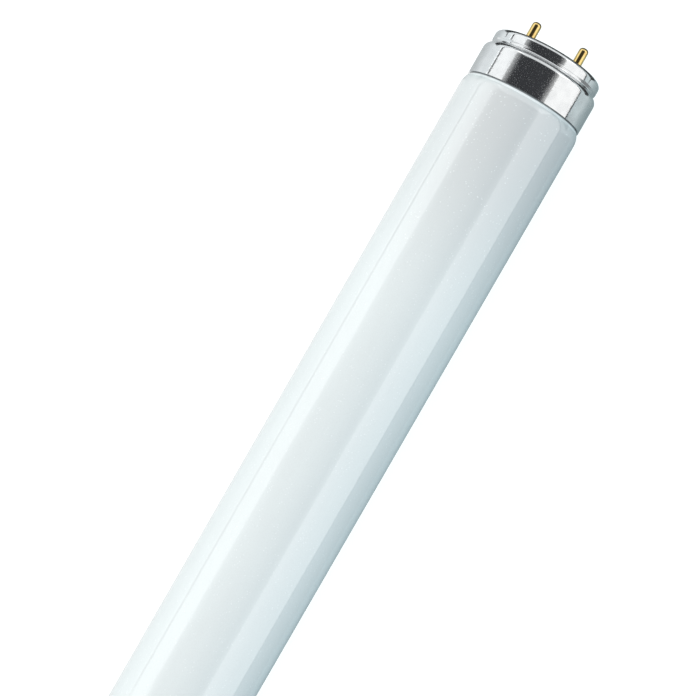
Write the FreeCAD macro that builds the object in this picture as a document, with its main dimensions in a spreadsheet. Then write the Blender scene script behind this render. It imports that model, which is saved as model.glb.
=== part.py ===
import FreeCAD, Part
import collections
import math
import os
import re
import Sketcher

# Sizes in millimetres and turns in degrees.
SIZES = {
    # lamp: length from rim to rim, and the bulb's glass
    "face_length": 589.8,
    "glass_radius": 15.5,
    "glass_wall": 0.7,
    # cap: a drawn aluminium shell, stepped in from the glass
    "cap_sheet": 0.4,
    "skirt_inset": 0.55,
    "skirt_height": 7.1,
    "shoulder_round": 1.55,
    "shoulder_turn": 60,
    "collar_step": 1.0,
    "pinch_fold": 0.15,
    "pinch_turn": 45,
    "rim_round": 1.05,
    "lip_tail": 0.25,
    # insulating disc, held between the pinched groove and the rolled lip
    "disc_thickness": 1.0,
    "disc_clearance": 0.05,
    # contact pins, each with a narrower shank riveted into the disc
    "pin_spacing": 12.7,
    "pin_radius": 1.175,
    "pin_length": 7.6,
    "pin_wall": 0.45,
    "shank_step": 0.2,
    "rivet_flange": 0.75,
    "rivet_thickness": 0.3,
    "tip_wall": 1.2,
    # glass neck inside the skirt, closed by a flat end, and the cement round it
    "cement_gap": 0.55,
    "cement_inset": 1.2,
    "seat_gap": 0.1,
    "neck_turn": 35,
    "neck_length": 5.5,
    "end_wall": 1.8,
    # stub of the tube that the bulb was emptied through
    "exhaust_radius": 2.0,
    "exhaust_reach": 2.6,
    "exhaust_taper": 1.3,
    # lead wires, from the glass end to the tips of the pins
    "wire_radius": 0.25,
    "wire_out": 3.6,
    "wire_root": 0.9,
    "bend_gap": 0.5,
}

# Radii about the lamp's axis.
SKIRT = "(glass_radius - skirt_inset)"
SKIRT_INSIDE = f"({SKIRT} - cap_sheet)"
NECK = f"({SKIRT_INSIDE} - cement_gap)"
COLLAR = f"({SKIRT} - collar_step)"
LIP = f"({COLLAR} - 2 * rim_round)"

# Cap profile: distances along the axis start at the skirt's edge and grow towards the pins.
PINCH_ROUND = "(cap_sheet + pinch_fold)"
PINCH_RISE = f"({PINCH_ROUND} * (1 - cos(pinch_turn)))"
PINCH_RUN = f"({PINCH_ROUND} * sin(pinch_turn))"
GROOVE = f"({COLLAR} - 2 * {PINCH_RISE})"
SHOULDER_X = "(skirt_height + shoulder_round * sin(shoulder_turn))"
SHOULDER_R = f"({SKIRT} - shoulder_round * (1 - cos(shoulder_turn)))"
DIP_R = f"({GROOVE} + {PINCH_ROUND} * (1 - cos(shoulder_turn)))"
DIP_X = f"({SHOULDER_X} + ({SHOULDER_R} - {DIP_R}) / tan(shoulder_turn))"
GROOVE_X = f"({DIP_X} + {PINCH_ROUND} * sin(shoulder_turn))"
COLLAR_X = f"({GROOVE_X} + 2 * {PINCH_RUN})"
DISC_TOP = f"({COLLAR_X} + disc_thickness)"
ROLL_X = f"({DISC_TOP} + lip_tail)"
RIM = f"({ROLL_X} + rim_round)"
EDGE = f"(face_length / 2 - {RIM})"

# Pins and lead wires.
PIN_OUT = "(pin_spacing / 2)"
PIN_BORE = "(pin_radius - pin_wall)"
PIN_TIP = f"({DISC_TOP} + pin_length)"
SHANK = "(pin_radius - shank_step)"
TIP_ROUND = "(pin_radius - wire_radius)"
RIVET_X = f"({COLLAR_X} - rivet_thickness)"

# Glass neck: one arc turns in from the tube and the next turns back along the axis.
FIRST_ROUND = f"((glass_radius - {SKIRT_INSIDE}) / (1 - cos(neck_turn)))"
SECOND_ROUND = "(cement_gap / (1 - cos(neck_turn)))"
NECK_X = f"({SECOND_ROUND} * sin(neck_turn) - seat_gap)"

LEFT_TURN = 1
RIGHT_TURN = -1
FULL_TURN = 360
HALF_TURN = 180
LARGEST_STEP = 55
AXIS_Z = FreeCAD.Vector(0, 0, 1)
AXIS_X = FreeCAD.Vector(1, 0, 0)
SKETCH_ORIGIN = (-1, 1)
SKETCH_X_AXIS = -1

# A corner of an outline: its place along and out from the axis, and the arc, if any, that leads to it.
Corner = collections.namedtuple("Corner", "along out round turn", defaults=(None, None))

doc = FreeCAD.newDocument("fluorescent_tube")
sheet = doc.addObject("Spreadsheet::Sheet", "Sizes")
for row, (size_name, size) in enumerate(SIZES.items(), start=1):
    sheet.set(f"A{row}", size_name)
    sheet.set(f"B{row}", str(size))
    sheet.setAlias(f"B{row}", size_name)
doc.recompute()


def bound(formula):
    """Point each size named in a formula at its cell."""
    return re.sub(r"[a-z_]+", lambda word: f"Sizes.{word[0]}" if word[0] in SIZES else word[0], formula)


def value(formula):
    """Work out a formula from the sheet."""
    return float(sheet.evalExpression(bound(formula)))


def new_body(label):
    """Start an empty sub-part."""
    body = doc.addObject("PartDesign::Body", label)
    body.Label = label
    return body


def new_sketch(body, name, plane):
    """Start a sketch on one of the body's own origin planes."""
    sketch = body.newObject("Sketcher::SketchObject", name)
    support = next(item for item in body.Origin.OriginFeatures if item.Role == plane)
    sketch.AttachmentSupport = [(support, "")]
    sketch.MapMode = "FlatFace"
    return sketch


def drive(sketch, constraint, formula):
    """Add a constraint whose value follows a formula."""
    number = sketch.addConstraint(constraint)
    sketch.setExpression(f"Constraints[{number}]", bound(formula))


def edge_between(start, end, radius, turn):
    """A straight edge, or an arc of under half a turn to the left or right."""
    if radius is None:
        return Part.LineSegment(start, end)
    chord = end - start
    left = FreeCAD.Vector(-chord.y, chord.x, 0).normalize()
    height = math.sqrt(max(radius**2 - (chord.Length / 2) ** 2, 0))
    centre = (start + end) / 2 + left * height * turn
    first, last = (start, end) if turn == LEFT_TURN else (end, start)
    angles = [math.atan2(point.y - centre.y, point.x - centre.x) for point in (first, last)]
    if angles[1] < angles[0]:
        angles[1] += 2 * math.pi
    return Part.ArcOfCircle(Part.Circle(centre, AXIS_Z, radius), *angles)


def bend(along, out, radius, start, end):
    """Corners of a small bend about a centre, in a few flats, none of which turns past the largest step."""
    steps = math.ceil(abs(value(f"({end} - {start})")) / LARGEST_STEP)
    angles = [f"({start} + ({end} - {start}) * {step} / {steps})" for step in range(steps + 1)]
    return [
        Corner(f"({along} + {radius} * cos({angle}))", f"({out} + {radius} * sin({angle}))")
        for angle in angles
    ]


def draw(sketch, corners, closed=True):
    """Draw an outline through its corners, each one driven by its formulas."""
    points = [FreeCAD.Vector(value(corner.along), value(corner.out), 0) for corner in corners]
    starts, ends = {}, {}
    for number in range(0 if closed else 1, len(corners)):
        corner = corners[number]
        radius = None if corner.round is None else value(corner.round)
        edge = sketch.addGeometry(edge_between(points[number - 1], points[number], radius, corner.turn))
        backward = corner.turn == RIGHT_TURN
        starts[(number - 1) % len(corners)] = (edge, 2 if backward else 1)
        ends[number] = (edge, 1 if backward else 2)
        if corner.round is not None:
            drive(sketch, Sketcher.Constraint("Radius", edge, radius), corner.round)
    for number, corner in enumerate(corners):
        vertex = ends.get(number) or starts[number]
        if number in ends and number in starts:
            sketch.addConstraint(Sketcher.Constraint("Coincident", *ends[number], *starts[number]))
        point = points[number]
        drive(sketch, Sketcher.Constraint("DistanceX", *SKETCH_ORIGIN, *vertex, point.x), corner.along)
        if corner.out == "0":
            sketch.addConstraint(Sketcher.Constraint("PointOnObject", *vertex, SKETCH_X_AXIS))
        else:
            drive(sketch, Sketcher.Constraint("DistanceY", *SKETCH_ORIGIN, *vertex, point.y), corner.out)


def turned(body, corners, name="outline", feature="PartDesign::Revolution"):
    """Turn an outline about the body's X axis, to add material or take it away."""
    sketch = new_sketch(body, f"{body.Label}_{name}", "XY_Plane")
    draw(sketch, corners)
    turn = body.newObject(feature, f"{body.Label}_{name}_turn")
    turn.Profile = sketch
    turn.ReferenceAxis = (sketch, ["H_Axis"])
    turn.Angle = FULL_TURN
    body.Tip = turn


def both_ends(corners):
    """Repeat the right end's corners at the left, so the outline runs from end to end and back."""
    mirrored = []
    for number in reversed(range(len(corners))):
        corner = corners[number]
        after = corners[number + 1] if number + 1 < len(corners) else Corner("0", "0")
        mirrored.append(Corner(f"-{corner.along}", corner.out, after.round, after.turn))
    return corners + mirrored


def place(body, right, back=None):
    """Set a piece at its end of the lamp, and on the pin's side if it belongs to one."""
    across_turn = FreeCAD.Rotation(AXIS_X, 0 if back in (None, right) else HALF_TURN)
    end_turn = FreeCAD.Rotation(AXIS_Z, 0 if right else HALF_TURN)
    body.Placement = FreeCAD.Placement(FreeCAD.Vector(), end_turn * across_turn)
    body.setExpression("Placement.Base.x", bound(EDGE if right else f"-{EDGE}"))


def make_glass_tube():
    """The bulb: a sealed hollow tube with a neck at each end and the stub that it was emptied through."""
    body = new_body("glass_tube")
    shoulder_x = f"({EDGE} - seat_gap - {FIRST_ROUND} * sin(neck_turn))"
    neck_x = f"({EDGE} + {NECK_X})"
    end_x = f"({EDGE} + neck_length)"
    stub_x = f"({end_x} + exhaust_reach)"
    outside = [
        Corner(shoulder_x, "glass_radius"),
        Corner(f"({EDGE} - seat_gap)", SKIRT_INSIDE, FIRST_ROUND, RIGHT_TURN),
        Corner(neck_x, NECK, SECOND_ROUND, LEFT_TURN),
        Corner(end_x, NECK),
        Corner(end_x, "exhaust_radius"),
        Corner(f"({stub_x} - exhaust_taper)", "exhaust_radius"),
        Corner(stub_x, "0"),
    ]
    turned(body, both_ends(outside), "outside")
    hollow_end_x = f"({end_x} - end_wall)"
    hollow = [
        Corner(shoulder_x, "(glass_radius - glass_wall)"),
        Corner(neck_x, f"({NECK} - glass_wall)"),
        Corner(hollow_end_x, f"({NECK} - glass_wall)"),
        Corner(hollow_end_x, "0"),
    ]
    turned(body, both_ends(hollow), "hollow", "PartDesign::Groove")
    return body


def cap_face(depth):
    """One face of the cap's sheet, from the skirt's edge to the lip's end, at a depth under the outside."""
    shoulder_out = f"({SKIRT} - shoulder_round)"
    groove_out = f"({GROOVE} + {PINCH_ROUND})"
    return [
        Corner("0", f"({SKIRT} - {depth})"),
        *bend("skirt_height", shoulder_out, f"(shoulder_round - {depth})", "90", "(90 - shoulder_turn)"),
        *bend(
            GROOVE_X,
            groove_out,
            f"({PINCH_ROUND} + {depth})",
            "(270 - shoulder_turn)",
            "(270 + pinch_turn)",
        ),
        Corner(COLLAR_X, f"({COLLAR} - {depth})"),
        *bend(ROLL_X, f"({COLLAR} - rim_round)", f"(rim_round - {depth})", "90", "-90"),
        Corner(DISC_TOP, f"({LIP} + {depth})"),
    ]


def make_end_cap(label, right):
    """A drawn shell: skirt, rounded shoulder, pinched groove, collar, and a rim rolled in over the disc."""
    body = new_body(label)
    outside = cap_face("0")
    inside = cap_face("cap_sheet")
    turned(body, outside + inside[::-1])
    place(body, right)
    return body


def make_insulating_disc(label, right):
    """A flat disc inside the collar, with a hole for each pin's shank."""
    body = new_body(label)
    sketch = new_sketch(body, f"{label}_face", "YZ_Plane")
    circles = [
        ("0", f"({COLLAR} - cap_sheet - disc_clearance)"),
        (PIN_OUT, SHANK),
        (f"(-{PIN_OUT})", SHANK),
    ]
    for across, radius in circles:
        centre = FreeCAD.Vector(value(across), 0, 0)
        circle = sketch.addGeometry(Part.Circle(centre, AXIS_Z, value(radius)))
        drive(sketch, Sketcher.Constraint("Radius", circle, value(radius)), radius)
        sketch.addConstraint(Sketcher.Constraint("PointOnObject", circle, 3, SKETCH_X_AXIS))
        drive(sketch, Sketcher.Constraint("DistanceX", *SKETCH_ORIGIN, circle, 3, centre.x), across)
    sketch.setExpression("AttachmentOffset.Base.z", bound(COLLAR_X))
    pad = body.newObject("PartDesign::Pad", f"{label}_pad")
    pad.Profile = sketch
    pad.setExpression("Length", bound("disc_thickness"))
    body.Tip = pad
    place(body, right)
    return body


def make_contact_pin(label, right, back):
    """A hollow pin with a rounded tip, which stands on the disc and is riveted over below it."""
    body = new_body(label)
    corners = [
        Corner(RIVET_X, PIN_BORE),
        Corner(RIVET_X, f"({SHANK} + rivet_flange)"),
        Corner(COLLAR_X, f"({SHANK} + rivet_flange)"),
        Corner(COLLAR_X, SHANK),
        Corner(DISC_TOP, SHANK),
        Corner(DISC_TOP, "pin_radius"),
        *bend(f"({PIN_TIP} - {TIP_ROUND})", "wire_radius", TIP_ROUND, "90", "0"),
        Corner(f"({PIN_TIP} - tip_wall)", "wire_radius"),
        Corner(f"({PIN_TIP} - tip_wall)", PIN_BORE),
    ]
    turned(body, corners)
    place(body, right, back)
    body.setExpression("Placement.Base.y", bound(PIN_OUT if back else f"-{PIN_OUT}"))
    return body


def make_cement_ring(label, right):
    """The ring of cement between the skirt and the glass neck."""
    body = new_body(label)
    top_x = "(neck_length - cement_inset)"
    corners = [
        Corner(NECK_X, NECK),
        Corner(NECK_X, SKIRT_INSIDE),
        Corner(top_x, SKIRT_INSIDE),
        Corner(top_x, NECK),
    ]
    turned(body, corners)
    place(body, right)
    return body


def make_lead_wire(label, right, back):
    """A wire that comes out of the glass end, crosses to a pin and runs along it to the tip."""
    body = new_body(label)
    path = new_sketch(body, f"{label}_path", "XY_Plane")
    route = [
        Corner("neck_length", "wire_out"),
        Corner("(neck_length + wire_root)", "wire_out"),
        Corner(f"({RIVET_X} - bend_gap)", PIN_OUT),
        Corner(PIN_TIP, PIN_OUT),
    ]
    draw(path, route, closed=False)
    section = new_sketch(body, f"{label}_section", "YZ_Plane")
    circle = section.addGeometry(Part.Circle(FreeCAD.Vector(), AXIS_Z, value("wire_radius")))
    drive(section, Sketcher.Constraint("Radius", circle, value("wire_radius")), "wire_radius")
    section.addConstraint(Sketcher.Constraint("Coincident", circle, 3, *SKETCH_ORIGIN))
    section.setExpression("AttachmentOffset.Base.x", bound("wire_out"))
    section.setExpression("AttachmentOffset.Base.z", bound("neck_length"))
    doc.recompute()
    pipe = body.newObject("PartDesign::AdditivePipe", f"{label}_pipe")
    pipe.Profile = section
    pipe.Spine = path
    pipe.Transition = "Right corner"
    body.Tip = pipe
    place(body, right, back)
    return body


def make_lamp():
    """Every piece of the lamp: the bulb, then each end from the cement out to the pins."""
    pieces = [make_glass_tube()]
    for end in ("left", "right"):
        right = end == "right"
        pieces.append(make_cement_ring(f"cement_ring_{end}", right))
        pieces.append(make_end_cap(f"end_cap_{end}", right))
        pieces.append(make_insulating_disc(f"insulating_disc_{end}", right))
        for side in ("front", "back"):
            back = side == "back"
            pieces.append(make_contact_pin(f"contact_pin_{end}_{side}", right, back))
            pieces.append(make_lead_wire(f"lead_wire_{end}_{side}", right, back))
    return pieces


def check(pieces):
    """Stop if any object failed or any piece is not one sound solid."""
    for item in doc.Objects:
        if {"Invalid", "Error"} & set(item.State):
            raise RuntimeError(f"{item.Label} did not build: {item.State}")
    for piece in pieces:
        if piece.Shape.isNull() or not piece.Shape.isValid() or len(piece.Shape.Solids) != 1:
            raise RuntimeError(f"{piece.Label} is not one valid solid")


def write(pieces):
    """Write each piece to a file of its own."""
    os.makedirs("parts", exist_ok=True)
    for piece in pieces:
        piece.Shape.exportStep(f"parts/{piece.Label}.step")
        print(f"{piece.Label}: {piece.Shape.Volume:.2f} mm3")


lamp = make_lamp()
doc.recompute()
check(lamp)
write(lamp)
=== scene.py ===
"""A straight fluorescent lamp: coated glass, drawn aluminium caps and brass pins, on a pale studio floor.

Every size is in metres, in the lamp's own frame: X along the tube, Y across through the pins, Z up.
"""

import logging
import math
from dataclasses import dataclass, field, replace
from enum import Enum

import bmesh
import bpy
from mathutils import Matrix, Vector

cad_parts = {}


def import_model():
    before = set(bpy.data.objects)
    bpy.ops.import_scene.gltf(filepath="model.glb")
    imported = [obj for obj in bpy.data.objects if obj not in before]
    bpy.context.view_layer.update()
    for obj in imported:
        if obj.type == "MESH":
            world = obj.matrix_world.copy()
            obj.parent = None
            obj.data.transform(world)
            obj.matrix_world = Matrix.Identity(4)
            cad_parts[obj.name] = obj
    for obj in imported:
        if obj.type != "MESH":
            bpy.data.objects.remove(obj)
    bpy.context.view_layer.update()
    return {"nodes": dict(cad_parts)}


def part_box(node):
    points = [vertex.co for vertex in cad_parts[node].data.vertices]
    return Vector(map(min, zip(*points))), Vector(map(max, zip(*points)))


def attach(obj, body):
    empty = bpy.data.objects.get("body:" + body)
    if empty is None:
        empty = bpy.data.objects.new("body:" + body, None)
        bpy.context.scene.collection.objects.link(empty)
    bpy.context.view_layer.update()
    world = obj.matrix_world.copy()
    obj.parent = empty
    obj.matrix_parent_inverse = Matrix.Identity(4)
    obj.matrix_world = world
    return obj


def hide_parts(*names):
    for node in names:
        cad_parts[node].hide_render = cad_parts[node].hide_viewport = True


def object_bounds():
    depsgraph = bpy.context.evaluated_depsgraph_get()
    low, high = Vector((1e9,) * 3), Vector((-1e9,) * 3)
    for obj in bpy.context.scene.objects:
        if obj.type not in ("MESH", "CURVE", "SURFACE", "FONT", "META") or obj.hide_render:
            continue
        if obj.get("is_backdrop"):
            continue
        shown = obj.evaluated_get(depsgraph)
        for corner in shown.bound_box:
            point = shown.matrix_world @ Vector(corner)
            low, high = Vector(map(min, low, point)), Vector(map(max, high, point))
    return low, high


LOG = logging.getLogger("lamp")
MM = 0.001
BODY = "root"

# Turned shapes: degrees between the rings of a bend, the fewest steps in one, and the sharpest smooth edge.
ARC_STEP = 6.0
FEWEST_STEPS = 2
CREASE = 32.0
# How near a ring sits to each end of a straight run, and the shortest run that has such rings.
HOLD = 0.12 * MM
SHORTEST_HELD = 4 * HOLD
# A point this near to the axis, or to the last one, is on it.
ON_AXIS = 1e-7
QUARTER_TURN = 90.0
HALF_TURN = 180.0

# The picture's side in pixels, and the width of the camera's sensor in millimetres.
PICTURE_SIDE = 696
SENSOR = 36.0

# The soft edge of a lamp's reflection: its strips, and the share of the lamp's gleam that they start from.
FADE_STRIPS = 4
FADE_START = 0.45

Point = tuple[float, float]
Span = tuple[float, float]
Colour = tuple[float, float, float]
Box = tuple[Vector, Vector]

WHITE: Colour = (1.0, 1.0, 1.0)
BLACK: Colour = (0.0, 0.0, 0.0)
DARK_CLOTH: Colour = (0.02, 0.02, 0.02)
# The roughness of cloth and floor, and a speck's solid core as a share of its radius.
MATT = 0.9
SPECK_CORE = 0.5


class End(Enum):
    """An end of the lamp, by its direction along X."""

    LEFT = -1
    RIGHT = 1

    @property
    def label(self) -> str:
        """The end's word in the names of its pieces."""
        return self.name.lower()


class Side(Enum):
    """A side of the lamp, by its direction along Y."""

    FRONT = -1
    BACK = 1

    @property
    def label(self) -> str:
        """The side's word in the names of its pieces."""
        return self.name.lower()


class Slot(Enum):
    """The record's names for the lamp's materials."""

    GLASS = "white_glass"
    ALUMINIUM = "aluminium"
    PHENOLIC = "phenolic"
    BRASS = "brass"
    CEMENT = "cement"
    COPPER = "copper"


@dataclass
class Outline:
    """Half the section of a turned piece: points along and out from the axis, material on the right."""

    points: list[Point] = field(default_factory=list)

    def put(self, along: float, out: float) -> None:
        """Add one point, unless the outline is already there."""
        if not self.points or math.dist(self.points[-1], (along, out)) > ON_AXIS:
            self.points.append((along, out))

    def to(self, along: float, out: float, spans: int = 1) -> "Outline":
        """Go straight to a point, with a ring close to each end of the run to hold its shading flat.

        Args:
            along: place of the point along the axis.
            out: its distance from the axis.
            spans: number of equal parts that the run is cut into.

        Returns:
            This outline.
        """
        if self.points:
            start = self.points[-1]
            run = math.dist(start, (along, out))
            if run > SHORTEST_HELD:
                inner = [part / spans for part in range(1, spans)]
                for share in [HOLD / run, *inner, 1 - HOLD / run]:
                    self.put(start[0] + (along - start[0]) * share, start[1] + (out - start[1]) * share)
        self.put(along, out)
        return self

    def round(self, centre: Point, radius: float, start: float, end: float) -> "Outline":
        """Go round an arc.

        Args:
            centre: the arc's centre, along and out from the axis.
            radius: the arc's radius.
            start: angle at which it starts, in degrees from the axis.
            end: angle at which it ends.

        Returns:
            This outline.
        """
        steps = max(FEWEST_STEPS, math.ceil(abs(end - start) / ARC_STEP))
        for step in range(steps + 1):
            turn = math.radians(start + (end - start) * step / steps)
            self.put(centre[0] + radius * math.cos(turn), centre[1] + radius * math.sin(turn))
        return self

    def facing(self, end: End) -> "Outline":
        """This outline, drawn for the right end, as it is at either end.

        Args:
            end: the end that it is wanted for.

        Returns:
            The outline itself, or its mirror image.
        """
        if end is End.RIGHT:
            return self
        return Outline([(-along, out) for along, out in reversed(self.points)])


@dataclass(frozen=True)
class Straight:
    """A flat stretch in the section of a formed sheet."""

    length: float


@dataclass(frozen=True)
class Bend:
    """A bend in the section of a formed sheet: its outside radius, and its turn away from the axis."""

    radius: float
    turn: float


@dataclass(frozen=True)
class FormedSheet:
    """A sheet that is drawn and rolled to a round shell, with its stretches from the open edge on."""

    start_out: float
    sheet: float
    stretches: list[Straight | Bend]

    def face(self, along: float, depth: float) -> Outline:
        """One face of the sheet.

        Args:
            along: place of the open edge along the axis.
            depth: how far the face lies under the outside.

        Returns:
            The face's points from the open edge on.
        """
        outline = Outline().to(along, self.start_out - depth)
        heading = 0.0
        for stretch in self.stretches:
            place = outline.points[-1]
            turned = math.radians(heading)
            if isinstance(stretch, Straight):
                outline.to(
                    place[0] + stretch.length * math.cos(turned),
                    place[1] + stretch.length * math.sin(turned),
                )
                continue
            hand = math.copysign(1.0, stretch.turn)
            radius = stretch.radius + hand * depth
            centre = (
                place[0] - hand * radius * math.sin(turned),
                place[1] + hand * radius * math.cos(turned),
            )
            outset = heading - hand * QUARTER_TURN
            outline.round(centre, radius, outset, outset + stretch.turn)
            heading += stretch.turn
        return outline

    def shell(self, along: float) -> Outline:
        """The whole section: along the outside and back along the inside.

        Args:
            along: place of the open edge along the axis.

        Returns:
            The closed outline.
        """
        inside = self.face(along, self.sheet).points
        outline = self.face(along, 0.0)
        for point in reversed(inside):
            outline.put(*point)
        return outline


@dataclass(frozen=True)
class Lathe:
    """Turns outlines about an axis parallel to X."""

    segments: int
    axis_y: float = 0.0

    def turn(self, name: str, outlines: list[Outline]) -> bpy.types.Object:
        """Make one piece.

        Args:
            name: the piece's name.
            outlines: its skins. One that starts on the axis ends there, any other is joined to its start.

        Returns:
            The piece, smooth but for its creases.
        """
        form = bmesh.new()
        for outline in outlines:
            self._skin(form, outline)
        mesh = bpy.data.meshes.new(name)
        form.to_mesh(mesh)
        form.free()
        mesh.shade_smooth()
        mesh.set_sharp_from_angle(angle=math.radians(CREASE))
        piece = bpy.data.objects.new(name, mesh)
        bpy.context.scene.collection.objects.link(piece)
        return piece

    def _skin(self, form: bmesh.types.BMesh, outline: Outline) -> None:
        """Turn one outline.

        Args:
            form: the mesh to add to.
            outline: what to turn.
        """
        rings = [self._ring(form, along, out) for along, out in outline.points]
        pairs = list(zip(rings, rings[1:]))
        if outline.points[0][1] > ON_AXIS:
            pairs.append((rings[-1], rings[0]))
        for near, far in pairs:
            for place in range(self.segments):
                beside = (place + 1) % self.segments
                corners = [
                    near[place % len(near)],
                    near[beside % len(near)],
                    far[beside % len(far)],
                    far[place % len(far)],
                ]
                form.faces.new(list(dict.fromkeys(corners)))

    def _ring(self, form: bmesh.types.BMesh, along: float, out: float) -> list[bmesh.types.BMVert]:
        """The points of one ring, or the single point on the axis.

        Args:
            form: the mesh to add to.
            along: place of the ring along the axis.
            out: its radius.

        Returns:
            The ring's points in order.
        """
        if out < ON_AXIS:
            return [form.verts.new((along, self.axis_y, 0.0))]
        turns = [2 * math.pi * place / self.segments for place in range(self.segments)]
        return [
            form.verts.new((along, self.axis_y + out * math.cos(turn), out * math.sin(turn)))
            for turn in turns
        ]


@dataclass(frozen=True)
class Grain:
    """Soft noise: the length of its grains along X, Y and Z, and how many finer layers it has."""

    size: tuple[float, float, float]
    layers: float = 2.0


def even(length: float, layers: float) -> Grain:
    """Noise with grains of one length in every direction."""
    return Grain((length, length, length), layers)


@dataclass(frozen=True)
class Ramp:
    """The range that a value is read in, and the range that it is carried to."""

    given: Span
    wanted: Span = (0.0, 1.0)


class Nodes:
    """Short ways to add nodes to a tree and to link them."""

    def __init__(self, tree: bpy.types.NodeTree) -> None:
        """Take the tree to add to."""
        self.tree = tree

    def add(self, kind: str, **settings: object) -> bpy.types.Node:
        """Add a node.

        Args:
            kind: Blender's name for the node.
            settings: its own settings.

        Returns:
            The node.
        """
        node = self.tree.nodes.new(kind)
        for key, value in settings.items():
            setattr(node, key, value)
        return node

    def feed(self, socket: bpy.types.NodeSocket, source: object) -> None:
        """Link a socket to another node's output, or set it to a constant.

        Args:
            socket: the socket to feed.
            source: the output, the number or the colour.
        """
        if isinstance(source, bpy.types.NodeSocket):
            self.tree.links.new(source, socket)
        elif isinstance(source, tuple):
            socket.default_value = (*source, 1.0)
        else:
            socket.default_value = source

    def spread(self, value: bpy.types.NodeSocket, ramp: Ramp) -> bpy.types.NodeSocket:
        """Carry a value from one range to another, with soft ends.

        Args:
            value: what to carry over.
            ramp: both ranges.

        Returns:
            The new value.
        """
        node = self.add("ShaderNodeMapRange", interpolation_type="SMOOTHSTEP")
        self.feed(node.inputs["Value"], value)
        limits = ("From Min", "From Max", "To Min", "To Max")
        for limit, number in zip(limits, (*ramp.given, *ramp.wanted)):
            self.feed(node.inputs[limit], number)
        return node.outputs["Result"]

    def math(self, operation: str, first: object, second: object = 0.0) -> bpy.types.NodeSocket:
        """One step of arithmetic.

        Args:
            operation: Blender's name for the step.
            first: a value, or a node's value.
            second: the other one, where the step has two.

        Returns:
            The step's result.
        """
        node = self.add("ShaderNodeMath", operation=operation)
        self.feed(node.inputs[0], first)
        self.feed(node.inputs[1], second)
        return node.outputs["Value"]

    def blend(self, share: object, first: object, second: object) -> bpy.types.NodeSocket:
        """Blend two colours.

        Args:
            share: how much of the second shows.
            first: a colour, or a node's colour.
            second: the other one.

        Returns:
            The blended colour.
        """
        node = self.add("ShaderNodeMix", data_type="RGBA")
        colours = [socket for socket in node.inputs if socket.type == "RGBA"]
        self.feed(node.inputs["Factor"], share)
        for socket, colour in zip(colours, (first, second)):
            self.feed(socket, colour)
        return next(socket for socket in node.outputs if socket.type == "RGBA")


class Recipe(Nodes):
    """The nodes of one material, read in the lamp's own frame."""

    def __init__(self, name: str) -> None:
        """Start a material with its shader and its coordinates.

        Args:
            name: the material's name.
        """
        self.material = bpy.data.materials.new(name)
        self.material.use_nodes = True
        super().__init__(self.material.node_tree)
        self.shader = self.tree.nodes["Principled BSDF"]
        self.place = self.add("ShaderNodeTexCoord").outputs["Object"]

    def grain(self, grain: Grain) -> bpy.types.NodeSocket:
        """Soft noise, from 0 to 1.

        Args:
            grain: the noise's grains and layers.

        Returns:
            The noise's value.
        """
        mapping = self.add("ShaderNodeMapping")
        self.feed(mapping.inputs["Vector"], self.place)
        mapping.inputs["Scale"].default_value = tuple(1 / length for length in grain.size)
        noise = self.add("ShaderNodeTexNoise")
        self.feed(noise.inputs["Vector"], mapping.outputs["Vector"])
        noise.inputs["Scale"].default_value = 1.0
        noise.inputs["Detail"].default_value = grain.layers
        return noise.outputs["Fac"]

    def specks(self, spacing: float, share: float) -> bpy.types.NodeSocket:
        """Small round specks.

        Args:
            spacing: distance from one to the next.
            share: a speck's radius as a share of that.

        Returns:
            1 in a speck, 0 outside.
        """
        cells = self.add("ShaderNodeTexVoronoi")
        self.feed(cells.inputs["Vector"], self.place)
        cells.inputs["Scale"].default_value = 1 / spacing
        return self.spread(cells.outputs["Distance"], Ramp((share, SPECK_CORE * share)))

    def axis(self, name: str) -> bpy.types.NodeSocket:
        """One coordinate of the place on the lamp.

        Args:
            name: the coordinate's letter.

        Returns:
            Its value.
        """
        split = self.add("ShaderNodeSeparateXYZ")
        self.feed(split.inputs["Vector"], self.place)
        return split.outputs[name]

    def relief(
        self,
        height: bpy.types.NodeSocket,
        depth: float,
        under: bpy.types.NodeSocket | None = None,
    ) -> bpy.types.NodeSocket:
        """Fine relief.

        Args:
            height: the relief, from 0 to 1.
            depth: its full depth.
            under: the relief that it lies on, if any.

        Returns:
            The bent normal.
        """
        node = self.add("ShaderNodeBump")
        node.inputs["Strength"].default_value = 1.0
        node.inputs["Distance"].default_value = depth
        self.feed(node.inputs["Height"], height)
        if under is not None:
            self.feed(node.inputs["Normal"], under)
        return node.outputs["Normal"]

    def finish(self, **inputs: object) -> bpy.types.Material:
        """Set the shader's sockets.

        Args:
            inputs: a source for each socket, which is named with underscores for spaces.

        Returns:
            The finished material.
        """
        for key, source in inputs.items():
            self.feed(self.shader.inputs[key.replace("_", " ")], source)
        return self.material


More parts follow.
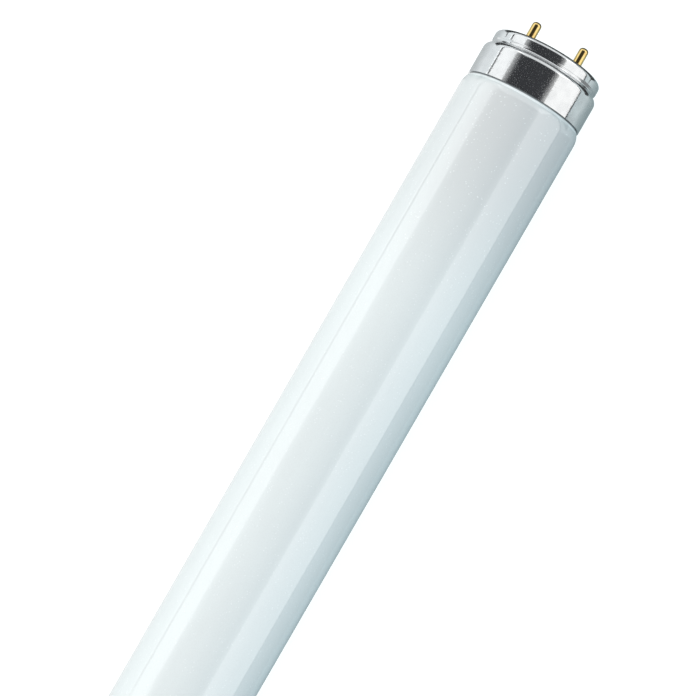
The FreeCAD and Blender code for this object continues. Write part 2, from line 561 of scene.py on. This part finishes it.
@dataclass(frozen=True)
class CoatedGlass:
    """Clear glass over a matt white coating, which is greyer towards the lamp's ends, and painted less grey
    behind, standing in for the light that falls on the back side.
    """

    edge: float
    white: Colour = (0.825, 0.855, 0.85)
    grey: Colour = (0.675, 0.68, 0.68)
    fade: float = 60 * MM
    # Painted light: the greying fades on the back side (+Y), where the key light falls, so that side shows
    # paler.
    painted_lit_back: Ramp = Ramp((6 * MM, 10 * MM), (1.0, 0.55))
    cloud: Grain = Grain((30 * MM, 6 * MM, 6 * MM), 3.0)
    cloud_share: Ramp = Ramp((0.35, 0.75), (0.0, 0.10))
    powder: Grain = even(0.35 * MM, 1.0)
    powder_share: Ramp = Ramp((0.4, 0.75), (0.0, 0.12))
    speck: Colour = (0.95, 0.97, 0.97)
    speck_spacing: float = 0.8 * MM
    speck_radius: float = 0.24
    speck_share: float = 0.7
    patches: Grain = Grain((5 * MM, 3 * MM, 3 * MM))
    patches_share: Ramp = Ramp((0.46, 0.58))
    shoulder: Colour = (0.66, 0.77, 0.76)
    shoulder_width: float = 2.2 * MM
    shoulder_share: float = 0.4
    # Painted glint: a light line on the glass just beside the cap, standing in for a reflection at the
    # glass's edge.
    rim: Colour = (0.95, 0.98, 0.98)
    painted_glint_width: float = 0.9 * MM
    # Painted shade: a dark line on the glass right under the skirt's edge, standing in for the shadow in the
    # gap between cap and glass.
    seam: Colour = (0.20, 0.22, 0.23)
    seam_width: float = 0.35 * MM
    # How strongly and how softly the painted glint and painted shade lines show.
    painted_line_share: float = 0.9
    painted_line_blur: float = 0.1 * MM
    smudges: Grain = Grain((25 * MM, 8 * MM, 8 * MM), 3.0)
    smudges_rough: Ramp = Ramp((0.4, 0.7), (0.015, 0.04))
    waves: Grain = Grain((60 * MM, 3.5 * MM, 3.5 * MM), 1.0)
    waves_depth: float = 0.010 * MM
    ripple: Grain = Grain((4 * MM, 1.6 * MM, 1.6 * MM), 1.0)
    ripple_depth: float = 0.003 * MM
    index: float = 1.6
    gloss: float = 1.0

    def material(self) -> bpy.types.Material:
        """Make the material.

        Returns:
            The material.
        """
        recipe = Recipe("coated_glass")
        along = recipe.math("ABSOLUTE", recipe.axis("X"))
        colour = self._seam_lines(recipe, along, self._coating(recipe, along))
        waves = recipe.relief(recipe.grain(self.waves), self.waves_depth)
        return recipe.finish(
            Base_Color=colour,
            Roughness=recipe.spread(recipe.grain(self.smudges), self.smudges_rough),
            IOR=self.index,
            Specular_IOR_Level=self.gloss,
            Normal=recipe.relief(recipe.grain(self.ripple), self.ripple_depth, waves),
        )

    def _coating(self, recipe: Recipe, along: bpy.types.NodeSocket) -> bpy.types.NodeSocket:
        """The coating, with its greying (painted lighter on the lit back side), its clouds and its specks.

        Args:
            recipe: the material's nodes.
            along: distance from the lamp's middle.

        Returns:
            The coating's colour.
        """
        # Greyer towards each end of the lamp.
        near_end = recipe.spread(along, Ramp((self.edge - self.fade, self.edge)))
        # Painted light: less greying on the lit back side.
        painted_lit_back = recipe.spread(recipe.axis("Y"), self.painted_lit_back)
        colour = recipe.blend(recipe.math("MULTIPLY", near_end, painted_lit_back), self.white, self.grey)
        for grain, share in ((self.cloud, self.cloud_share), (self.powder, self.powder_share)):
            colour = recipe.blend(recipe.spread(recipe.grain(grain), share), colour, self.grey)
        patches = recipe.spread(recipe.grain(self.patches), self.patches_share)
        specks = recipe.math("MULTIPLY", recipe.specks(self.speck_spacing, self.speck_radius), patches)
        return recipe.blend(recipe.math("MULTIPLY", specks, self.speck_share), colour, self.speck)

    def _seam_lines(
        self,
        recipe: Recipe,
        along: bpy.types.NodeSocket,
        colour: bpy.types.NodeSocket,
    ) -> bpy.types.NodeSocket:
        """The tint of the shoulder, and the painted glint and the painted shade line beside the cap.

        Args:
            recipe: the material's nodes.
            along: distance from the lamp's middle.
            colour: the colour that they lie on.

        Returns:
            The colour with the tint and the painted lines on it.
        """
        close = Ramp((self.edge - self.shoulder_width, self.edge), (0.0, self.shoulder_share))
        colour = recipe.blend(recipe.spread(along, close), colour, self.shoulder)
        # Painted glint, then painted shade in the gap under the skirt's edge.
        for line, width in ((self.rim, self.painted_glint_width), (self.seam, self.seam_width)):
            start = self.edge - width
            step = Ramp((start - self.painted_line_blur, start + self.painted_line_blur), (0.0, self.painted_line_share))
            colour = recipe.blend(recipe.spread(along, step), colour, line)
        return colour


@dataclass(frozen=True)
class DrawnAluminium:
    """Bright drawn sheet: fine rings from the tool, a slight unevenness, and light marks from handling."""

    bright: Colour = (0.81, 0.82, 0.825)
    dull: Colour = (0.69, 0.70, 0.71)
    rings: Grain = Grain((0.05 * MM, 5 * MM, 5 * MM), 3.0)
    rings_rough: Ramp = Ramp((0.3, 0.7), (0.05, 0.09))
    rings_depth: float = 0.0006 * MM
    haze: Grain = even(2.5 * MM, 3.0)
    haze_share: Ramp = Ramp((0.35, 0.7), (0.0, 0.5))
    haze_rough: Ramp = Ramp((0.4, 0.8), (0.0, 0.05))
    fleck: Grain = even(0.2 * MM, 1.0)
    fleck_rough: Ramp = Ramp((0.5, 0.75), (0.0, 0.24))
    fleck_depth: float = 0.0009 * MM
    marks: Grain = Grain((3.0 * MM, 0.12 * MM, 1.6 * MM))
    marks_shown: Ramp = Ramp((0.66, 0.74))
    marks_share: float = 0.35
    marks_rough: float = 0.12
    dents: Grain = Grain((2.2 * MM, 1.8 * MM, 1.8 * MM))
    dents_depth: float = 0.006 * MM

    def material(self) -> bpy.types.Material:
        """Make the material.

        Returns:
            The material.
        """
        recipe = Recipe("drawn_aluminium")
        rings = recipe.grain(self.rings)
        haze = recipe.grain(self.haze)
        fleck = recipe.grain(self.fleck)
        mark = recipe.spread(recipe.grain(self.marks), self.marks_shown)
        colour = recipe.blend(recipe.spread(haze, self.haze_share), self.bright, self.dull)
        colour = recipe.blend(recipe.math("MULTIPLY", mark, self.marks_share), colour, self.dull)
        rough = recipe.spread(rings, self.rings_rough)
        rough = recipe.math("ADD", rough, recipe.spread(haze, self.haze_rough))
        rough = recipe.math("ADD", rough, recipe.spread(fleck, self.fleck_rough))
        rough = recipe.math("ADD", rough, recipe.math("MULTIPLY", mark, self.marks_rough))
        dented = recipe.relief(recipe.grain(self.dents), self.dents_depth)
        turned = recipe.relief(rings, self.rings_depth, dented)
        grained = recipe.relief(fleck, self.fleck_depth, turned)
        return recipe.finish(Base_Color=colour, Metallic=1.0, Roughness=rough, Normal=grained)


@dataclass(frozen=True)
class Brass:
    """Bright brass, a little browned in patches, with fine turning marks."""

    bright: Colour = (0.93, 0.69, 0.27)
    brown: Colour = (0.55, 0.27, 0.08)
    stain: Grain = Grain((1.4 * MM, 0.9 * MM, 0.9 * MM), 3.0)
    stain_share: Ramp = Ramp((0.5, 0.78), (0.0, 0.6))
    stain_rough: Ramp = Ramp((0.45, 0.75), (0.06, 0.15))
    rings: Grain = Grain((0.04 * MM, 2 * MM, 2 * MM))
    rings_rough: Ramp = Ramp((0.3, 0.7), (0.0, 0.04))
    rings_depth: float = 0.0005 * MM

    def material(self) -> bpy.types.Material:
        """Make the material.

        Returns:
            The material.
        """
        recipe = Recipe("brass")
        stain = recipe.grain(self.stain)
        rings = recipe.grain(self.rings)
        colour = recipe.blend(recipe.spread(stain, self.stain_share), self.bright, self.brown)
        rough = recipe.spread(stain, self.stain_rough)
        rough = recipe.math("ADD", rough, recipe.spread(rings, self.rings_rough))
        turned = recipe.relief(rings, self.rings_depth)
        return recipe.finish(Base_Color=colour, Metallic=1.0, Roughness=rough, Normal=turned)


@dataclass(frozen=True)
class PhenolicBoard:
    """Brown insulating board, pressed from paper, with its fibres showing faintly."""

    brown: Colour = (0.30, 0.165, 0.085)
    dark: Colour = (0.17, 0.085, 0.04)
    fibre: Colour = (0.43, 0.27, 0.15)
    cloud: Grain = even(3 * MM, 4.0)
    cloud_share: Ramp = Ramp((0.35, 0.7), (0.0, 0.7))
    cloud_rough: Ramp = Ramp((0.3, 0.7), (0.38, 0.55))
    fibres: Grain = Grain((0.5 * MM, 0.9 * MM, 0.16 * MM))
    fibres_share: Ramp = Ramp((0.56, 0.72), (0.0, 0.55))
    fibres_depth: float = 0.008 * MM

    def material(self) -> bpy.types.Material:
        """Make the material.

        Returns:
            The material.
        """
        recipe = Recipe("phenolic_board")
        cloud = recipe.grain(self.cloud)
        fibres = recipe.grain(self.fibres)
        colour = recipe.blend(recipe.spread(cloud, self.cloud_share), self.brown, self.dark)
        colour = recipe.blend(recipe.spread(fibres, self.fibres_share), colour, self.fibre)
        return recipe.finish(
            Base_Color=colour,
            Roughness=recipe.spread(cloud, self.cloud_rough),
            Normal=recipe.relief(fibres, self.fibres_depth),
        )


@dataclass(frozen=True)
class BakedCement:
    """Dull, granular capping cement."""

    tan: Colour = (0.58, 0.50, 0.39)
    dark: Colour = (0.38, 0.31, 0.23)
    grit: Grain = even(0.3 * MM, 4.0)
    grit_share: Ramp = Ramp((0.35, 0.7))
    grit_rough: Ramp = Ramp((0.3, 0.7), (0.75, 0.95))
    grit_depth: float = 0.05 * MM

    def material(self) -> bpy.types.Material:
        """Make the material.

        Returns:
            The material.
        """
        recipe = Recipe("baked_cement")
        grit = recipe.grain(self.grit)
        return recipe.finish(
            Base_Color=recipe.blend(recipe.spread(grit, self.grit_share), self.tan, self.dark),
            Roughness=recipe.spread(grit, self.grit_rough),
            Normal=recipe.relief(grit, self.grit_depth),
        )


@dataclass(frozen=True)
class DrawnCopper:
    """Copper wire with draw lines along it and a dull bloom."""

    bright: Colour = (0.80, 0.42, 0.24)
    dull: Colour = (0.45, 0.22, 0.13)
    bloom: Grain = Grain((0.5 * MM, 0.3 * MM, 0.3 * MM), 3.0)
    bloom_share: Ramp = Ramp((0.4, 0.7), (0.0, 0.8))
    bloom_rough: Ramp = Ramp((0.35, 0.7), (0.2, 0.4))
    lines: Grain = Grain((2 * MM, 0.03 * MM, 0.03 * MM), 1.0)
    lines_depth: float = 0.002 * MM

    def material(self) -> bpy.types.Material:
        """Make the material.

        Returns:
            The material.
        """
        recipe = Recipe("drawn_copper")
        bloom = recipe.grain(self.bloom)
        return recipe.finish(
            Base_Color=recipe.blend(recipe.spread(bloom, self.bloom_share), self.bright, self.dull),
            Metallic=1.0,
            Roughness=recipe.spread(bloom, self.bloom_rough),
            Normal=recipe.relief(recipe.grain(self.lines), self.lines_depth),
        )


def settle(piece: bpy.types.Object, node: str, material: bpy.types.Material) -> None:
    """Let a new piece stand for a node of the frame.

    Args:
        piece: the new piece, already in its place.
        node: the node that it stands for.
        material: the finish.
    """
    piece.data.materials.append(material)
    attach(piece, BODY)
    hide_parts(node)
    LOG.info("%s: %d faces, stands for %s", piece.name, len(piece.data.polygons), node)


def dress(node: bpy.types.Object, material: bpy.types.Material) -> None:
    """Give a node of the frame its finish.

    Args:
        node: the frame's own piece, which keeps its shape.
        material: the finish.
    """
    node.data.materials.clear()
    node.data.materials.append(material)
    LOG.info("%s: kept as it is, finished in %s", node.name, material.name)


@dataclass(frozen=True)
class EndCap:
    """A drawn shell: skirt, rounded shoulder, pinched groove, collar, and a rim rolled in over the disc."""

    box: Box
    sheet: float = 0.4 * MM
    skirt_height: float = 7.1 * MM
    shoulder_round: float = 1.55 * MM
    shoulder_turn: float = 60.0
    collar_step: float = 1.0 * MM
    fold_round: float = 0.55 * MM
    fold_turn: float = 45.0
    rim_round: float = 1.05 * MM
    lip_tail: float = 0.25 * MM
    segments: int = 224

    @property
    def edge(self) -> float:
        """Place of the skirt's edge along the right end."""
        return self.box[0].x

    @property
    def depth(self) -> float:
        """Distance from the skirt's edge to the rim."""
        return self.box[1].x - self.box[0].x

    @property
    def radius(self) -> float:
        """The skirt's outside radius."""
        return self.box[1].y

    @property
    def inside(self) -> float:
        """The skirt's inside radius."""
        return self.radius - self.sheet

    def sheet_run(self) -> FormedSheet:
        """The sheet from the skirt's edge to the lip, with the slope and the collar worked out to fit.

        Returns:
            The formed sheet.
        """
        steep = math.radians(self.shoulder_turn)
        rise = math.radians(self.fold_turn)
        shoulder_drop = self.shoulder_round * (1 - math.cos(steep))
        fold_drop = self.fold_round * (math.cos(rise) - math.cos(steep) - (1 - math.cos(rise)))
        slope = (self.collar_step - shoulder_drop - fold_drop) / math.sin(steep)
        used = self.skirt_height + self.shoulder_round * math.sin(steep) + slope * math.cos(steep)
        used += self.fold_round * (math.sin(steep) + 2 * math.sin(rise)) + self.rim_round
        stretches = [
            Straight(self.skirt_height),
            Bend(self.shoulder_round, -self.shoulder_turn),
            Straight(slope),
            Bend(self.fold_round, self.shoulder_turn + self.fold_turn),
            Bend(self.fold_round, -self.fold_turn),
            Straight(self.depth - used),
            Bend(self.rim_round, -HALF_TURN),
            Straight(self.lip_tail),
        ]
        return FormedSheet(self.radius, self.sheet, stretches)

    def build(self, end: End, material: bpy.types.Material) -> None:
        """Turn the cap of one end and finish it.

        Args:
            end: the end that it sits on.
            material: its finish.
        """
        outline = self.sheet_run().shell(self.edge).facing(end)
        piece = Lathe(self.segments).turn(f"drawn_cap_{end.label}", [outline])
        settle(piece, f"end_cap_{end.label}", material)


@dataclass(frozen=True)
class GlassBulb:
    """The sealed tube, drawn in to a neck at each end, with the stub that it was emptied through."""

    box: Box
    cap_edge: float
    cap_inside: float
    wall: float = 0.7 * MM
    seat_gap: float = 0.1 * MM
    neck_turn: float = 35.0
    cement_gap: float = 0.55 * MM
    end_wall: float = 1.8 * MM
    stub_radius: float = 2.0 * MM
    stub_reach: float = 2.6 * MM
    stub_taper: float = 1.3 * MM
    spans: int = 48
    segments: int = 256

    def right_half(self) -> tuple[Outline, Outline]:
        """The right half of the outside and of the hollow.

        Returns:
            Both outlines, each from the shoulder to the axis.
        """
        radius = self.box[1].y
        neck = self.cap_inside - self.cement_gap
        tip = self.box[1].x
        end = tip - self.stub_reach
        turn = math.radians(self.neck_turn)
        first = (radius - self.cap_inside) / (1 - math.cos(turn))
        second = (self.cap_inside - neck) / (1 - math.cos(turn))
        seat = self.cap_edge - self.seat_gap
        shoulder = seat - first * math.sin(turn)
        neck_start = seat + second * math.sin(turn)
        outside = Outline()
        outside.round((shoulder, radius - first), first, QUARTER_TURN, QUARTER_TURN - self.neck_turn)
        outside.round((neck_start, neck + second), second, -QUARTER_TURN - self.neck_turn, -QUARTER_TURN)
        outside.to(end, neck).to(end, self.stub_radius)
        outside.to(tip - self.stub_taper, self.stub_radius).to(tip, 0.0)
        hollow = Outline().to(shoulder, radius - self.wall).to(neck_start, neck - self.wall)
        hollow.to(end - self.end_wall, neck - self.wall).to(end - self.end_wall, 0.0)
        return outside, hollow

    def build(self, material: bpy.types.Material) -> None:
        """Turn the bulb's outside and its hollow, and finish it.

        Args:
            material: its finish.
        """
        outside, hollow = self.right_half()
        skin = outside.facing(End.LEFT)
        skin.to(*outside.points[0], spans=self.spans)
        skin.points.extend(outside.points[1:])
        void = hollow.facing(End.LEFT)
        void.to(*hollow.points[0], spans=self.spans)
        void.points.extend(hollow.points[1:])
        void.points.reverse()
        piece = Lathe(self.segments).turn("coated_glass_tube", [skin, void])
        settle(piece, "glass_tube", material)


@dataclass(frozen=True)
class ContactPin:
    """A hollow pin with a rounded tip, which stands on the disc and is riveted over below it."""

    box: Box
    disc: Box
    radius: float = 1.175 * MM
    wall: float = 0.45 * MM
    shank_step: float = 0.2 * MM
    rivet_flange: float = 0.75 * MM
    wire_radius: float = 0.25 * MM
    tip_wall: float = 1.2 * MM
    segments: int = 96

    def outline(self) -> Outline:
        """The pin's section at the right end.

        Returns:
            The outline from the rivet to the tip and back along the bore.
        """
        bore = self.radius - self.wall
        shank = self.radius - self.shank_step
        rivet = shank + self.rivet_flange
        under, top = self.disc[0].x, self.disc[1].x
        foot, tip = self.box[0].x, self.box[1].x
        tip_round = self.radius - self.wire_radius
        outline = Outline().to(foot, bore).to(foot, rivet).to(under, rivet).to(under, shank)
        outline.to(top, shank).to(top, self.radius).to(tip - tip_round, self.radius)
        outline.round((tip - tip_round, self.wire_radius), tip_round, QUARTER_TURN, 0.0)
        outline.to(tip - self.tip_wall, self.wire_radius).to(tip - self.tip_wall, bore)
        # The bore ends where the outline starts, and the lathe joins the two.
        outline.to(foot, bore)
        outline.points.pop()
        return outline

    def build(self, end: End, side: Side, material: bpy.types.Material) -> None:
        """Turn one pin and finish it.

        Args:
            end: the end that it stands on.
            side: the side that it stands on.
            material: its finish.
        """
        across = side.value * abs(self.box[0].y + self.box[1].y) / 2
        name = f"{end.label}_{side.label}"
        piece = Lathe(self.segments, across).turn(f"brass_pin_{name}", [self.outline().facing(end)])
        settle(piece, f"contact_pin_{name}", material)


@dataclass(frozen=True)
class Lamp:
    """The whole lamp, with every size taken from the frame's right end."""

    nodes: dict[str, bpy.types.Object]

    def build(self) -> None:
        """Build and finish every piece."""
        cap = EndCap(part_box("end_cap_right"))
        GlassBulb(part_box("glass_tube"), cap.edge, cap.inside).build(CoatedGlass(cap.edge).material())
        pin = ContactPin(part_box("contact_pin_right_back"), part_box("insulating_disc_right"))
        aluminium = DrawnAluminium().material()
        brass = Brass().material()
        board = PhenolicBoard().material()
        cement = BakedCement().material()
        copper = DrawnCopper().material()
        for end in End:
            cap.build(end, aluminium)
            dress(self.nodes[f"insulating_disc_{end.label}"], board)
            dress(self.nodes[f"cement_ring_{end.label}"], cement)
            for side in Side:
                pin.build(end, side, brass)
                dress(self.nodes[f"lead_wire_{end.label}_{side.label}"], copper)


def flat_sheet(
    name: str,
    faces: list[list[Point]],
    level: float,
    material: bpy.types.Material,
) -> bpy.types.Object:
    """Make a flat sheet for the studio.

    Args:
        name: the sheet's name.
        faces: the corners of each of its faces.
        level: its height.
        material: its finish.

    Returns:
        The sheet.
    """
    form = bmesh.new()
    for corners in faces:
        form.faces.new([form.verts.new((x, y, level)) for x, y in corners])
    mesh = bpy.data.meshes.new(name)
    form.to_mesh(mesh)
    form.free()
    mesh.materials.append(material)
    sheet = bpy.data.objects.new(name, mesh)
    bpy.context.scene.collection.objects.link(sheet)
    sheet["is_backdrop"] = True
    return sheet


def only_reflected(sheet: bpy.types.Object) -> bpy.types.Object:
    """Hide a sheet from everything but reflections.

    Args:
        sheet: the sheet to hide.

    Returns:
        The same sheet.
    """
    sheet.visible_camera = False
    sheet.visible_diffuse = False
    sheet.visible_shadow = False
    return sheet


def dark_sheet(name: str, faces: list[list[Point]], level: float = 0.0) -> bpy.types.Object:
    """Make a dark sheet that only reflections show.

    Args:
        name: the sheet's name.
        faces: the corners of each of its faces.
        level: its height.

    Returns:
        The sheet.
    """
    cloth = Recipe(name).finish(Base_Color=DARK_CLOTH, Roughness=MATT)
    return only_reflected(flat_sheet(name, faces, level, cloth))


def rectangle(half_x: float, half_y: float, middle_x: float = 0.0) -> list[Point]:
    """The corners of a rectangle, from half its sides."""
    return [(middle_x + x * half_x, y * half_y) for x, y in ((-1, -1), (1, -1), (1, 1), (-1, 1))]


@dataclass(frozen=True)
class StripLight:
    """A long soft lamp beside the tube, between two angles from straight up towards +Y.

    Its glow is the light that it throws, and its gleam is what reflections show of it.
    A heading turns it about the upright line through the tube's middle.
    """

    name: str
    edges: Span
    glow: Colour = BLACK
    gleam: Colour = BLACK
    frame_width: float = 0.0
    fade: float = 0.0
    distance: float = 0.9
    length: float = 2.8
    middle: float = -0.2
    heading: float = 0.0
    apart: float = 0.005

    @property
    def across(self) -> float:
        """The lamp's width, from the angle that it spreads over."""
        return 2 * self.distance * math.tan(math.radians(self.edges[1] - self.edges[0]) / 2)

    def build(self) -> None:
        """Hang the lamp, its reflection and its dark frame."""
        if self.glow != BLACK:
            self._lamp(f"{self.name}_glow", self.glow).visible_glossy = False
        if self.gleam != BLACK:
            self._lamp(f"{self.name}_gleam", self.gleam, self.apart).visible_diffuse = False
        if self.frame_width:
            self._frame()
        if self.fade:
            self._fade()

    def _hang(self, item: bpy.types.Object, nearer: float = 0.0) -> None:
        """Put an item in the lamp's place, facing the tube.

        Args:
            item: what to hang.
            nearer: how far it hangs in front of the lamp's place.
        """
        lean = math.radians(sum(self.edges) / 2)
        back = Vector((0.0, math.sin(lean), math.cos(lean)))
        along = Vector((1.0, 0.0, 0.0))
        turn = Matrix((along, back.cross(along), back)).transposed().to_4x4()
        place = back * (self.distance - nearer) + along * self.middle
        heading = Matrix.Rotation(math.radians(self.heading), 4, "Z")
        item.matrix_world = heading @ Matrix.Translation(place) @ turn

    def _lamp(self, name: str, colour: Colour, nearer: float = 0.0) -> bpy.types.Object:
        """Make one lamp of this size.

        Args:
            name: the lamp's name.
            colour: the colour of its face, with its brightness in it.
            nearer: how far it hangs in front of the lamp's place.

        Returns:
            The lamp.
        """
        data = bpy.data.lights.new(name, "AREA")
        data.shape = "RECTANGLE"
        data.size = self.length
        data.size_y = self.across
        data.color = colour
        # At this power the lamp's face is as bright as its colour says.
        data.energy = math.pi * self.length * self.across
        lamp = bpy.data.objects.new(name, data)
        lamp.visible_camera = False
        bpy.context.scene.collection.objects.link(lamp)
        self._hang(lamp, nearer)
        return lamp

    def _frame(self) -> None:
        """Make the lamp's dark frame, which shows as a thin line beside its reflection."""
        inner = rectangle(self.length / 2, self.across / 2)
        outer = rectangle(self.length / 2 + self.frame_width, self.across / 2 + self.frame_width)
        faces = []
        for place in range(len(inner)):
            beside = (place + 1) % len(inner)
            faces.append([inner[place], outer[place], outer[beside], inner[beside]])
        self._hang(dark_sheet(f"{self.name}_frame", faces))

    def _fade(self) -> None:
        """Let the reflection fade out above the lamp's upper edge, in narrow strips."""
        upper = min(self.edges, key=abs)
        width = -math.copysign(self.fade / FADE_STRIPS, upper)
        for strip in range(FADE_STRIPS):
            share = FADE_START * (1 - (strip + 0.5) / FADE_STRIPS)
            soft_edge = replace(
                self,
                name=f"{self.name}_fade_{strip}",
                edges=tuple(sorted((upper + width * strip, upper + width * (strip + 1)))),
                glow=BLACK,
                gleam=tuple(part * share for part in self.gleam),
                frame_width=0.0,
                fade=0.0,
            )
            soft_edge.build()


@dataclass(frozen=True)
class Studio:
    """A pale floor with cards, lamps beside, above and beyond the tube, and a room dark in reflections."""

    ground: float
    glass_end: float
    floor_half: float = 9.0
    floor_front: Colour = (0.35, 0.41, 0.415)
    floor_back: Colour = (0.43, 0.45, 0.455)
    lift: Ramp = Ramp((0.35, 1.4), (0.78, 1.0))
    behind: Ramp = Ramp((-0.02, 0.02))
    far_sheen: Ramp = Ramp((0.02, 0.07), (0.0, 0.30))
    back_sheen: float = 0.15
    dark_card_half: Span = (0.3, 0.1)
    dark_card_middle: float = 0.61
    pale_card: Colour = (0.93, 0.95, 0.955)
    pale_card_reach: Span = (16 * MM, 42 * MM)
    grey_card: Colour = (0.25, 0.265, 0.27)
    grey_card_reach: Span = (-41 * MM, -610 * MM)
    card_lift: float = 1 * MM
    card_slant: float = 0.18
    card_gap: float = 2.5 * MM
    fill: Colour = (0.56, 0.64, 0.66)
    dark: Colour = (0.045, 0.047, 0.051)
    lights: tuple[StripLight, ...] = (
        StripLight(
            "key_strip",
            edges=(54.0, 85.0),
            glow=(1.39, 1.44, 1.45),
            gleam=(1.09, 1.11, 1.11),
            frame_width=0.06,
            fade=12.0,
        ),
        StripLight("key_foot", edges=(88.6, 91.2), gleam=(0.84, 0.86, 0.86)),
        StripLight(
            "side_strip",
            edges=(-87.0, -34.5),
            glow=(0.02, 0.18, 0.28),
            gleam=(1.12, 1.12, 1.11),
            frame_width=0.075,
            fade=10.0,
        ),
        StripLight("soft_top", edges=(-40.0, 40.0), glow=(0.63, 0.525, 0.495), distance=1.2),
        StripLight(
            "end_strip",
            edges=(45.0, 80.0),
            gleam=(0.8, 0.82, 0.83),
            length=1.2,
            middle=0.0,
            heading=-QUARTER_TURN,
        ),
    )

    def build(self) -> None:
        """Set up the floor, the cards, the room and the lamps."""
        self._floor()
        dark_card = rectangle(*self.dark_card_half, self.dark_card_middle)
        dark_sheet("dark_card", [dark_card], self.ground + self.card_lift)
        self._glass_card("pale_card", self.pale_card_reach, self.pale_card)
        self._glass_card("grey_card", self.grey_card_reach, self.grey_card)
        self._room()
        for light in self.lights:
            light.build()

    def _floor(self) -> None:
        """Lay the floor, lifted to white where it is seen directly, and with a sheen in reflections."""
        recipe = Recipe("studio_floor")
        away = recipe.add("ShaderNodeVectorMath", operation="LENGTH")
        recipe.feed(away.inputs[0], recipe.place)
        lift = recipe.spread(away.outputs["Value"], self.lift)
        across = recipe.axis("Y")
        far = recipe.spread(recipe.math("ABSOLUTE", across), self.far_sheen)
        behind = recipe.spread(across, self.behind)
        back = recipe.math("MULTIPLY", behind, self.back_sheen)
        path = recipe.add("ShaderNodeLightPath")
        bent = recipe.math("MAXIMUM", path.outputs["Is Glossy Ray"], path.outputs["Is Transmission Ray"])
        sheen = recipe.math("MULTIPLY", bent, recipe.math("ADD", far, back))
        seen = recipe.math("MULTIPLY", path.outputs["Is Camera Ray"], lift)
        pale = recipe.finish(
            Base_Color=recipe.blend(behind, self.floor_front, self.floor_back),
            Roughness=MATT,
            Specular_IOR_Level=0.0,
            Emission_Color=WHITE,
            Emission_Strength=recipe.math("ADD", seen, sheen),
        )
        flat_sheet("studio_floor", [rectangle(self.floor_half, self.floor_half)], self.ground, pale)

    def _glass_card(self, name: str, reach: Span, colour: Colour) -> None:
        """Lay a card beside the glass, cut so that the caps don't reflect it.

        Args:
            name: the card's name.
            reach: where it starts and ends across the tube.
            colour: its colour in reflections.
        """
        paper = Recipe(name).finish(
            Base_Color=BLACK,
            Specular_IOR_Level=0.0,
            Emission_Color=colour,
            Emission_Strength=1.0,
        )
        right = self.glass_end - self.card_gap
        near, far = reach
        corners = [
            (-right, near),
            (right + self.card_slant * abs(near), near),
            (right + self.card_slant * abs(far), far),
            (-right, far),
        ]
        only_reflected(flat_sheet(name, [corners], self.ground + self.card_lift, paper))

    def _room(self) -> None:
        """Make the room: white to the eye, dark in reflections, and a soft fill on matt surfaces."""
        world = bpy.data.worlds.new("studio_room")
        world.use_nodes = True
        bpy.context.scene.world = world
        nodes = Nodes(world.node_tree)
        path = nodes.add("ShaderNodeLightPath")
        colour = nodes.blend(path.outputs["Is Diffuse Ray"], self.dark, self.fill)
        colour = nodes.blend(path.outputs["Is Camera Ray"], colour, WHITE)
        nodes.feed(nodes.tree.nodes["Background"].inputs["Color"], colour)


@dataclass(frozen=True)
class Viewpoint:
    """The camera: where it stands from the cap's skirt, where it looks, and how it is turned."""

    skirt_edge: float
    focal_pixels: float = 1390.3
    behind_skirt: float = 58.41 * MM
    in_front: float = 16.11 * MM
    above: float = 332.69 * MM
    lean: float = 4.0
    tip: float = -2.18
    slope: float = 60.127
    nearest: float = 10 * MM

    def build(self) -> None:
        """Place the camera and make it the scene's own."""
        data = bpy.data.cameras.new("viewpoint")
        data.sensor_width = SENSOR
        data.lens = self.focal_pixels * SENSOR / PICTURE_SIDE
        data.clip_start = self.nearest
        camera = bpy.data.objects.new("viewpoint", data)
        lean, tip, slope = (math.radians(angle) for angle in (self.lean, self.tip, self.slope))
        ahead = Vector(
            (
                math.sin(tip),
                math.cos(tip) * math.sin(lean),
                -math.cos(tip) * math.cos(lean),
            )
        )
        along = Vector((1.0, 0.0, 0.0))
        seen_along = (along - ahead * along.dot(ahead)).normalized()
        seen_across = (-ahead).cross(seen_along)
        right = seen_along * math.cos(slope) - seen_across * math.sin(slope)
        up = seen_along * math.sin(slope) + seen_across * math.cos(slope)
        place = Vector((self.skirt_edge - self.behind_skirt, -self.in_front, self.above))
        turn = Matrix((right, up, -ahead)).transposed().to_4x4()
        camera.matrix_world = Matrix.Translation(place) @ turn
        bpy.context.scene.collection.objects.link(camera)
        bpy.context.scene.camera = camera


def main() -> None:
    """Build the lamp on its frame, light it and set up the view."""
    logging.basicConfig(level=logging.INFO, format="%(message)s")
    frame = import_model()
    Lamp(frame["nodes"]).build()
    skirt_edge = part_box("end_cap_right")[0].x
    Studio(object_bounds()[0].z, skirt_edge).build()
    Viewpoint(skirt_edge).build()
    bpy.context.scene.view_settings.view_transform = "Standard"


if __name__ == "__main__":
    main()
